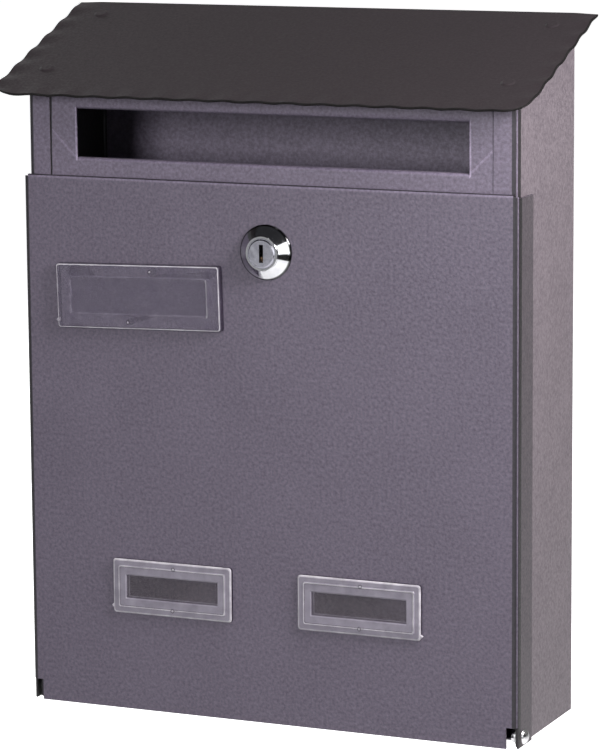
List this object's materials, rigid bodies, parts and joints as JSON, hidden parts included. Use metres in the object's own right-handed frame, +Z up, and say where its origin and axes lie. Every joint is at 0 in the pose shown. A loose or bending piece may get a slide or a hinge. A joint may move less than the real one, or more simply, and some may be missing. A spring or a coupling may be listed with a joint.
{
  "type": "wall mounted mailbox",
  "caption": "Wall mounted sheet steel mailbox with a sloping roof, a letter slot, and a keyed door that drops open on hinge rivets at its foot.",
  "frame": {"origin": "middle of the four wall holes, on the back face of the case, 140 mm above its foot", "axes": "+X to the right seen from the front, +Y towards the wall, +Z up; the door faces -Y"},
  "size_m": [0.236, 0.0856, 0.2924],
  "materials": {
    "grey_paint": "hammered grey powder coat",
    "roof_paint": "dark matte grey paint",
    "lock_chrome": "polished",
    "bright_steel": "bright plated",
    "zinc_steel": "dull zinc plated",
    "wafer_brass": "stamped",
    "clear_plastic": "clear moulded"
  },
  "bodies": {
    "case": {"case_shell": "grey_paint", "floor_panel": "grey_paint", "slot_panel": "grey_paint", "roof": "roof_paint", "roof_rivets": "roof_paint", "hinge_rivet_left": "bright_steel", "hinge_rivet_right": "bright_steel", "hinge_washers": "zinc_steel"},
    "door": {"door_panel": "grey_paint", "lock_housing": "lock_chrome", "lock_washer": "zinc_steel", "lock_nut": "zinc_steel", "name_window": "clear_plastic", "name_window_clips": "zinc_steel", "view_window_left": "clear_plastic", "view_window_right": "clear_plastic", "view_window_clips": "zinc_steel"},
    "plug": {"lock_plug": "lock_chrome", "lock_wafers": "wafer_brass", "wafer_springs": "zinc_steel", "stop_washer": "zinc_steel", "lock_cam": "zinc_steel", "cam_washer": "zinc_steel", "cam_screw": "zinc_steel"}
  },
  "joints": [
    {"name": "door_hinge", "type": "hinge", "parent": "case", "child": "door", "pos_m": [0, -0.0627, -0.1364], "axis": [1, 0, 0], "range_deg": [0, 120]},
    {"name": "lock_turn", "type": "hinge", "parent": "door", "child": "plug", "pos_m": [0.001, -0.0711, 0.0577], "axis": [0, -1, 0], "range_deg": [0, 90]}
  ]
}
